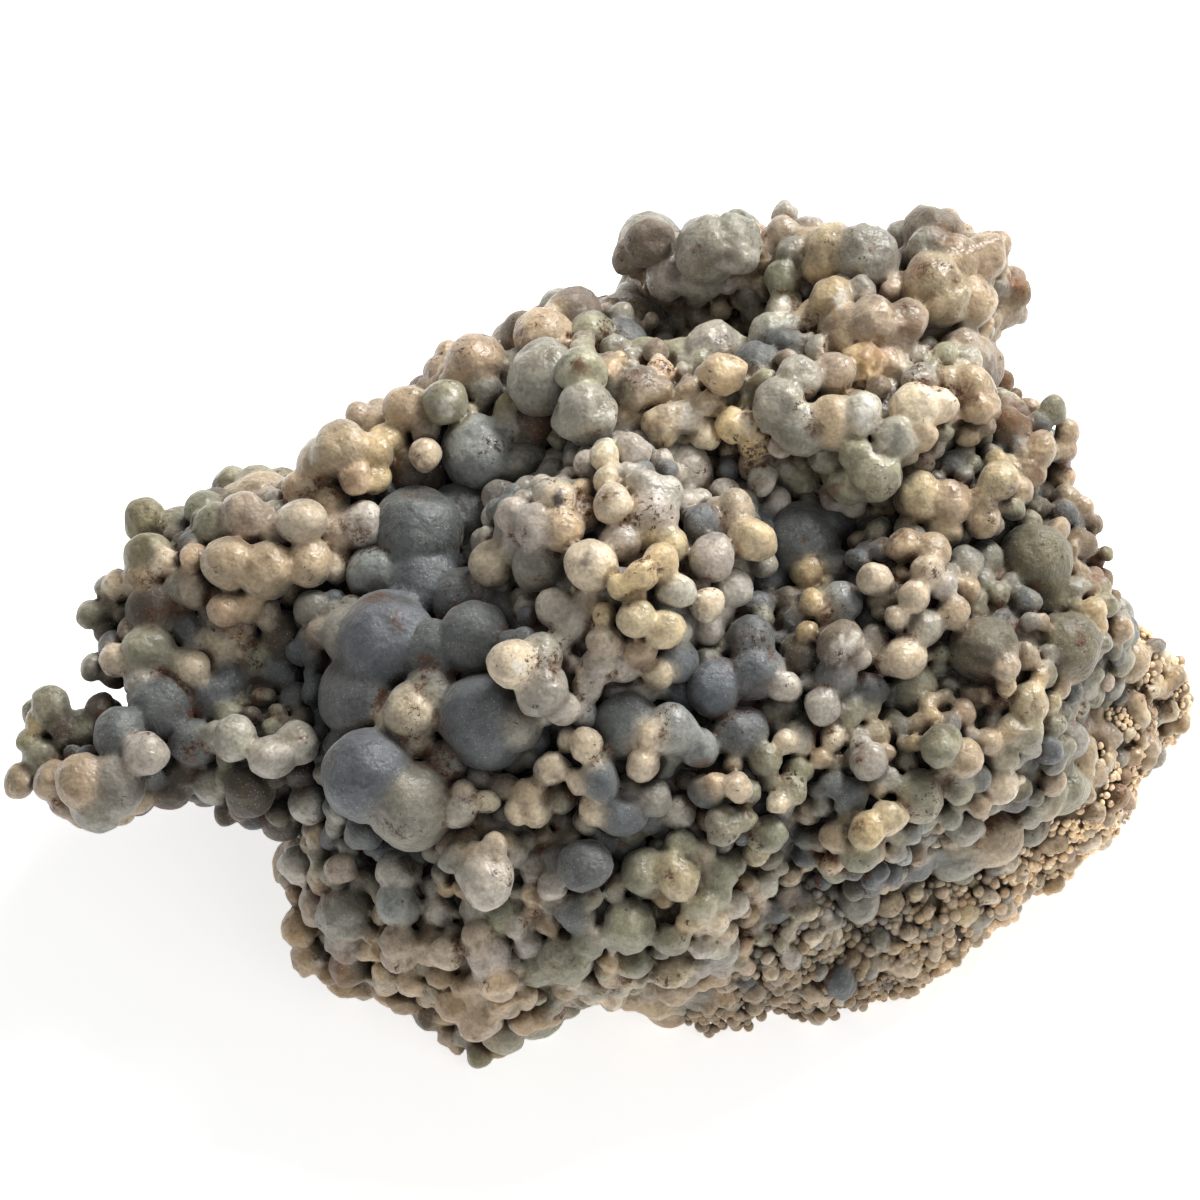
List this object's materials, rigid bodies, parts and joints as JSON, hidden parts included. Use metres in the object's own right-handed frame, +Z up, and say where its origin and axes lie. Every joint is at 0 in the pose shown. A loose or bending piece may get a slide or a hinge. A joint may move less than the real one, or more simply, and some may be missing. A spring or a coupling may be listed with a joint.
{
  "type": "grape agate specimen",
  "caption": "Botryoidal chalcedony cluster of small fused grapes over a lumpy crust, with a flat cut back that it rests on",
  "frame": {"origin": "centre of the bounding box in X and Y, on the flat cut face at its lowest height", "axes": "+Z points up from the flat cut face; +X runs along the longest side to the right as the picture shows it; +Y points to the picture's top"},
  "size_m": [0.1499, 0.1167, 0.06],
  "materials": {
    "chalcedony": "waxy"
  },
  "bodies": {
    "root": {"grape_agate": "chalcedony"}
  },
  "joints": []
}
